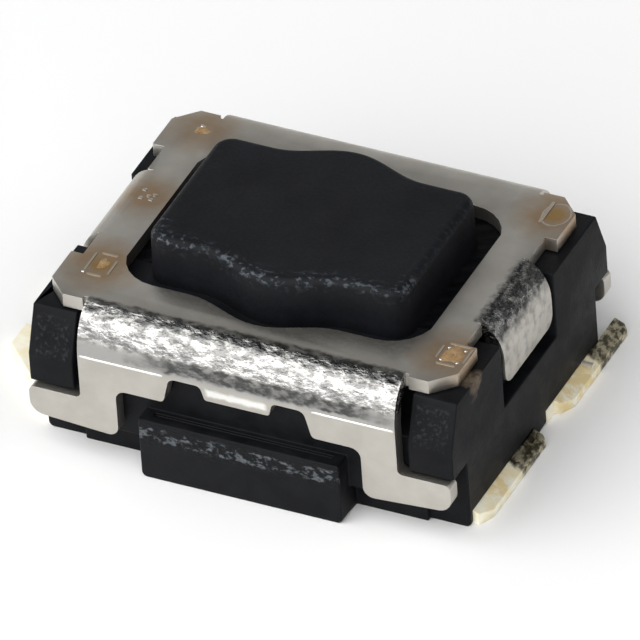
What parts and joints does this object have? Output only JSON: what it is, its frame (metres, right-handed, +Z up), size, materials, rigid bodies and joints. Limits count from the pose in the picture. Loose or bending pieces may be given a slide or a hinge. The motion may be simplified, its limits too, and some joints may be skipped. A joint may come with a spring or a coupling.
{
  "type": "tactile push button switch",
  "caption": "Surface-mount tactile push button switch with a black plunger in a shaped window, a formed metal cover, a moulded housing and flat gold terminals.",
  "frame": {"origin": "centre of the housing's underside, on the seating plane", "axes": "+X along the length, towards the right-hand terminals; +Y across the switch; +Z up, the way the button rises"},
  "size_m": [0.0051, 0.0036, 0.002],
  "materials": {
    "housing": "matte",
    "cover": "satin",
    "button": "matte",
    "dome": "satin",
    "contacts": "satin"
  },
  "bodies": {
    "base": {"housing": "housing", "cover": "cover", "dome": "dome", "outer_contact": "contacts", "centre_contact": "contacts"},
    "actuator": {"button": "button"}
  },
  "joints": [
    {"name": "button_press", "type": "slide", "parent": "base", "child": "actuator", "axis": [0, 0, -1], "range_m": [0, 0.0002], "stiffness_N_per_m": 500, "deforming": ["dome"]}
  ]
}
